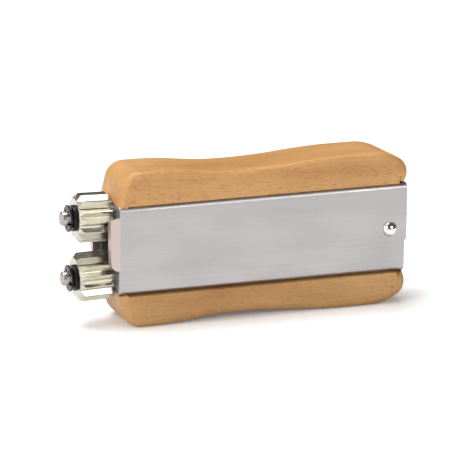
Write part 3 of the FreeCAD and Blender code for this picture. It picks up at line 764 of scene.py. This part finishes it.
class CRIMPER_OT_fittings(bpy.types.Operator):
    """Finish the blocks, studs, screws and spacer that stay as they are"""
    bl_idname = "crimper.fittings"
    bl_label = "Finish the Fittings"

    def execute(self, context):
        for node in frame["nodes"].values():
            if node.hide_render:
                continue
            node.data.materials.clear()
            node.data.materials.append(look_of("plain_steel"))
        return {"FINISHED"}


# ---- stage -----------------------------------------------------------------------------------------

def studio_world():
    """White for the camera; for metal and shade a dim room with a white left side and floor."""
    world = bpy.data.worlds.new("studio")
    world.use_nodes = True
    tree = world.node_tree
    nodes, links = tree.nodes, tree.links
    way = nodes.new("ShaderNodeSeparateXYZ")
    links.new(nodes.new("ShaderNodeTexCoord").outputs["Generated"], way.inputs["Vector"])

    def soft_step(axis, start, end):
        node = nodes.new("ShaderNodeMapRange")
        node.interpolation_type = "SMOOTHSTEP"
        links.new(way.outputs[axis], node.inputs["Value"])
        node.inputs["From Min"].default_value = start
        node.inputs["From Max"].default_value = end
        return node.outputs["Result"]

    def mixed(factor, first, second):
        node = nodes.new("ShaderNodeMix")
        node.data_type = "RGBA"
        links.new(factor, node.inputs[0])
        for socket, setting in zip((node.inputs[6], node.inputs[7]), (first, second)):
            if isinstance(setting, bpy.types.NodeSocket):
                links.new(setting, socket)
            else:
                socket.default_value = setting
        return node.outputs[2]

    dim, white = (0.13, 0.115, 0.10, 1), (1, 1, 1, 1)
    bright = nodes.new("ShaderNodeMath")
    bright.operation = "MAXIMUM"
    links.new(soft_step("X", -0.3, -0.75), bright.inputs[0])
    links.new(soft_step("Z", -0.02, -0.2), bright.inputs[1])
    room = mixed(bright.outputs[0], dim, white)
    rays = nodes.new("ShaderNodeLightPath")
    background = nodes["Background"]
    links.new(mixed(rays.outputs["Is Camera Ray"], room, white), background.inputs["Color"])
    background.inputs["Strength"].default_value = 1.0
    return world


def floor_paint():
    """Matt white, a little lighter to the camera, so that it runs into the background."""
    look = Look("floor_paint")
    grain = look.noise(look.scaled(2, 2, 2), 2)
    tone = look.mix(look.ramp(grain, 0.3, 0.7), (0.93, 0.93, 0.93, 1), (0.95, 0.95, 0.95, 1))
    look.paint(tone)
    look.surface.inputs["Roughness"].default_value = 0.9
    look.surface.inputs["Specular IOR Level"].default_value = 0.1
    rays = look.add("LightPath")
    look.surface.inputs["Emission Color"].default_value = (1, 1, 1, 1)
    look.tree.links.new(look.sum("MULTIPLY", rays.outputs["Is Camera Ray"], 0.1),
                        look.surface.inputs["Emission Strength"])
    return look.material


class CRIMPER_OT_stage(bpy.types.Operator):
    """Set the floor, the lights and the camera"""
    bl_idname = "crimper.stage"
    bl_label = "Set the Stage"

    def execute(self, context):
        scene = context.scene
        scene.view_settings.view_transform = "Standard"
        scene.world = studio_world()
        mesh = bpy.data.meshes.new("floor")
        reach = 8.0
        mesh.from_pydata([(-reach, -reach, 0), (reach, -reach, 0), (reach, reach, 0),
                          (-reach, reach, 0)], [], [(0, 1, 2, 3)])
        floor = bpy.data.objects.new("floor", mesh)
        scene.collection.objects.link(floor)
        mesh.materials.append(floor_paint())

        aim = Vector((sizes("stage").aside, 0, sizes("stage").aim))

        def lamp(name, place, power, width, depth):
            data = bpy.data.lights.new(name, "AREA")
            data.shape = "RECTANGLE"
            data.energy, data.size, data.size_y = power, width, depth
            item = bpy.data.objects.new(name, data)
            item.location = place
            item.rotation_euler = (aim - Vector(place)).to_track_quat("-Z", "Y").to_euler()
            scene.collection.objects.link(item)

        lamp("overhead_box", (-0.4, 0.5, 2.2), 55, 1.6, 1.6)
        lamp("left_box", (-1.6, -0.9, 0.9), 16, 0.9, 0.9)
        lamp("front_fill", (0.9, -1.9, 1.0), 16, 1.0, 1.0)
        scene.camera = self.camera(aim)
        return {"FINISHED"}

    def camera(self, aim):
        """The camera looks at the aim from its azimuth and elevation, and rolls about that line."""
        stage = sizes("stage")
        level = math.cos(stage.elevation)
        away = Vector((-math.sin(stage.azimuth) * level, -math.cos(stage.azimuth) * level,
                       math.sin(stage.elevation)))
        data = bpy.data.cameras.new("camera")
        data.sensor_width = 36
        data.lens = stage.lens
        item = bpy.data.objects.new("camera", data)
        turn = (-away).to_track_quat("-Z", "Y").to_matrix() @ Matrix.Rotation(stage.roll, 3, "Z")
        item.matrix_world = Matrix.Translation(aim + away * stage.distance) @ turn.to_4x4()
        bpy.context.scene.collection.objects.link(item)
        return item


class CRIMPER_PT_panel(bpy.types.Panel):
    """Lists the operators in the order in which they are used"""
    bl_idname = "CRIMPER_PT_panel"
    bl_label = "Wire Crimper"
    bl_space_type = "VIEW_3D"
    bl_region_type = "UI"
    bl_category = "Crimper"

    def draw(self, context):
        for operator in OPERATORS:
            self.layout.operator(operator.bl_idname)


GROUPS = {"handles": CrimperHandles, "wheels": CrimperWheels, "hinge": CrimperHinge,
          "finish": CrimperFinish, "stage": CrimperStage}
OPERATORS = (CRIMPER_OT_handles, CRIMPER_OT_channels, CRIMPER_OT_wheels, CRIMPER_OT_hinge,
             CRIMPER_OT_fittings, CRIMPER_OT_stage)
CLASSES = (*GROUPS.values(), *OPERATORS, CRIMPER_PT_panel)


def register():
    for item in CLASSES:
        bpy.utils.register_class(item)
    for name, group in GROUPS.items():
        setattr(bpy.types.Scene, "crimper_" + name, bpy.props.PointerProperty(type=group))


def unregister():
    for name in GROUPS:
        delattr(bpy.types.Scene, "crimper_" + name)
    for item in reversed(CLASSES):
        bpy.utils.unregister_class(item)


def main():
    """Register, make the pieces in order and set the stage."""
    register()
    bpy.ops.crimper.handles()
    bpy.ops.crimper.channels()
    bpy.ops.crimper.wheels()
    bpy.ops.crimper.hinge()
    bpy.ops.crimper.fittings()
    bpy.ops.crimper.stage()


if __name__ == "__main__":
    main()
